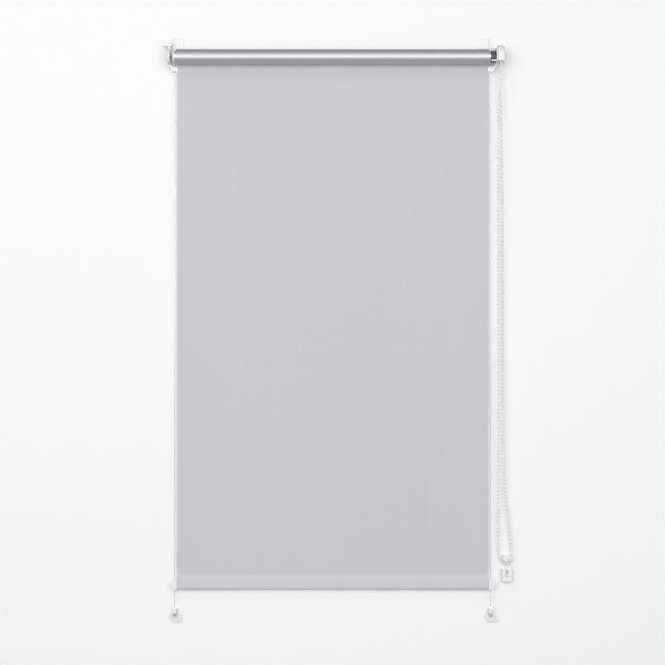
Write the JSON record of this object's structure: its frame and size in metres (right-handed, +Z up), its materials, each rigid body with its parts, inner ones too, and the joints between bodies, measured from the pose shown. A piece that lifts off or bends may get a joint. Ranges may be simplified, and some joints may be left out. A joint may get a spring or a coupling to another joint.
{
  "type": "roller blind",
  "caption": "Clamp-on roller blind with silver backed grey fabric, chain drive, guide wires, hem bar and sash clamps, lowered.",
  "frame": {"origin": "middle of the blind's fabric, on the line where the sash's front face meets its top edge", "axes": "+X to the chain side as seen from the room, +Y into the sash, +Z up"},
  "size_m": [0.5606, 0.0577, 0.943],
  "materials": {
    "white_plastic": "injection moulded white plastic, satin",
    "dark_plastic": "dark grey moulded plastic",
    "zinc_steel": "zinc plated",
    "spring_steel": "drawn spring wire",
    "aluminium": "mill finish extrusion",
    "grey_fabric": "light grey coated polyester weave",
    "silver_fabric": "silver thermal coating on the back of the fabric",
    "rubber": "matt",
    "clear_wire": "clear nylon",
    "chain_plastic": "white moulded beads"
  },
  "bodies": {
    "root": {"left_bracket": "white_plastic", "right_bracket": "white_plastic", "drive_cover": "white_plastic", "drive_shaft": "zinc_steel", "clutch_spring": "spring_steel", "shaft_screw": "zinc_steel", "cover_screw_upper": "zinc_steel", "cover_screw_lower": "zinc_steel", "fabric_panel": "grey_fabric", "left_guide_wire": "clear_wire", "right_guide_wire": "clear_wire", "left_wire_stop": "zinc_steel", "right_wire_stop": "zinc_steel", "left_wire_tensioner": "zinc_steel", "right_wire_tensioner": "zinc_steel", "left_foot_bracket": "white_plastic", "right_foot_bracket": "white_plastic", "bead_chain": "chain_plastic", "chain_on_wheel": "chain_plastic", "chain_holder_base": "white_plastic", "chain_holder_pad": "rubber"},
    "roller": {"roller_tube": "aluminium", "fabric_roll": "silver_fabric", "idle_plug": "white_plastic", "idle_spring": "spring_steel", "idle_spring_cap": "dark_plastic", "chain_wheel": "white_plastic", "tube_adapter": "dark_plastic"},
    "idle_pin": {"idle_pin": "zinc_steel"},
    "bottom_rail": {"hem_pocket": "grey_fabric", "bottom_bar": "aluminium", "left_bar_cap": "white_plastic", "right_bar_cap": "white_plastic"},
    "chain_slider": {"chain_slider": "white_plastic"},
    "slider_screw": {"slider_screw": "zinc_steel"},
    "left_top_hook": {"left_top_hook": "zinc_steel", "left_top_pad": "rubber"},
    "left_top_screw": {"left_top_screw": "zinc_steel"},
    "left_top_nut": {"left_top_nut": "zinc_steel"},
    "right_top_hook": {"right_top_hook": "zinc_steel", "right_top_pad": "rubber"},
    "right_top_screw": {"right_top_screw": "zinc_steel"},
    "right_top_nut": {"right_top_nut": "zinc_steel"},
    "left_foot_hook": {"left_foot_hook": "zinc_steel", "left_foot_pad": "rubber"},
    "left_foot_screw": {"left_foot_screw": "zinc_steel"},
    "left_foot_nut": {"left_foot_nut": "zinc_steel"},
    "right_foot_hook": {"right_foot_hook": "zinc_steel", "right_foot_pad": "rubber"},
    "right_foot_screw": {"right_foot_screw": "zinc_steel"},
    "right_foot_nut": {"right_foot_nut": "zinc_steel"}
  },
  "joints": [
    {"name": "bar_lift", "type": "slide", "parent": "root", "child": "bottom_rail", "axis": [0, 0, 1], "range_m": [0, 0.8], "deforming": ["fabric_panel"]},
    {"name": "tube_spin", "type": "hinge", "parent": "root", "child": "roller", "pos_m": [0, -0.021, -0.026], "axis": [1, 0, 0], "range_deg": [0, 3313], "deforming": ["chain_on_wheel"]},
    {"name": "idle_pin_press", "type": "slide", "parent": "roller", "child": "idle_pin", "axis": [1, 0, 0], "range_m": [0, 0.0045], "stiffness_N_per_m": 300, "springref_m": -0.004, "deforming": ["idle_spring"]},
    {"name": "chain_slider_adjust", "type": "slide", "parent": "root", "child": "chain_slider", "axis": [0, 0, 1], "range_m": [0, 0.006]},
    {"name": "slider_screw_turn", "type": "hinge", "parent": "chain_slider", "child": "slider_screw", "pos_m": [0.28, -0.009, -0.857], "axis": [0, -1, 0], "range_deg": [0, 360]},
    {"name": "left_top_hook_slide", "type": "slide", "parent": "root", "child": "left_top_hook", "axis": [0, 1, 0], "range_m": [-0.0015, 0.0035]},
    {"name": "left_top_screw_turn", "type": "hinge", "parent": "root", "child": "left_top_screw", "pos_m": [-0.25, 0.006, 0], "axis": [0, 0, 1], "range_deg": [0, 360]},
    {"name": "left_top_nut_travel", "type": "slide", "parent": "root", "child": "left_top_nut", "axis": [0, 0, 1], "range_m": [-0.0005, 0]},
    {"name": "right_top_hook_slide", "type": "slide", "parent": "root", "child": "right_top_hook", "axis": [0, 1, 0], "range_m": [-0.0015, 0.0035]},
    {"name": "right_top_screw_turn", "type": "hinge", "parent": "root", "child": "right_top_screw", "pos_m": [0.243, 0.006, 0], "axis": [0, 0, 1], "range_deg": [0, 360]},
    {"name": "right_top_nut_travel", "type": "slide", "parent": "root", "child": "right_top_nut", "axis": [0, 0, 1], "range_m": [-0.0005, 0]},
    {"name": "left_foot_hook_slide", "type": "slide", "parent": "root", "child": "left_foot_hook", "axis": [0, 1, 0], "range_m": [-0.0015, 0.0035]},
    {"name": "left_foot_screw_turn", "type": "hinge", "parent": "root", "child": "left_foot_screw", "pos_m": [-0.2515, 0.006, -0.927], "axis": [0, 0, -1], "range_deg": [0, 360]},
    {"name": "left_foot_nut_travel", "type": "slide", "parent": "root", "child": "left_foot_nut", "axis": [0, 0, -1], "range_m": [-0.0005, 0]},
    {"name": "right_foot_hook_slide", "type": "slide", "parent": "root", "child": "right_foot_hook", "axis": [0, 1, 0], "range_m": [-0.0015, 0.0035]},
    {"name": "right_foot_screw_turn", "type": "hinge", "parent": "root", "child": "right_foot_screw", "pos_m": [0.2565, 0.006, -0.927], "axis": [0, 0, -1], "range_deg": [0, 360]},
    {"name": "right_foot_nut_travel", "type": "slide", "parent": "root", "child": "right_foot_nut", "axis": [0, 0, -1], "range_m": [-0.0005, 0]}
  ],
  "couplings": [
    {"joint": "tube_spin", "follows": "bar_lift", "rad_per_m": 72.257},
    {"joint": "left_top_screw_turn", "follows": "left_top_nut_travel", "rad_per_m": -12566},
    {"joint": "right_top_screw_turn", "follows": "right_top_nut_travel", "rad_per_m": -12566},
    {"joint": "left_foot_screw_turn", "follows": "left_foot_nut_travel", "rad_per_m": -12566},
    {"joint": "right_foot_screw_turn", "follows": "right_foot_nut_travel", "rad_per_m": -12566}
  ]
}
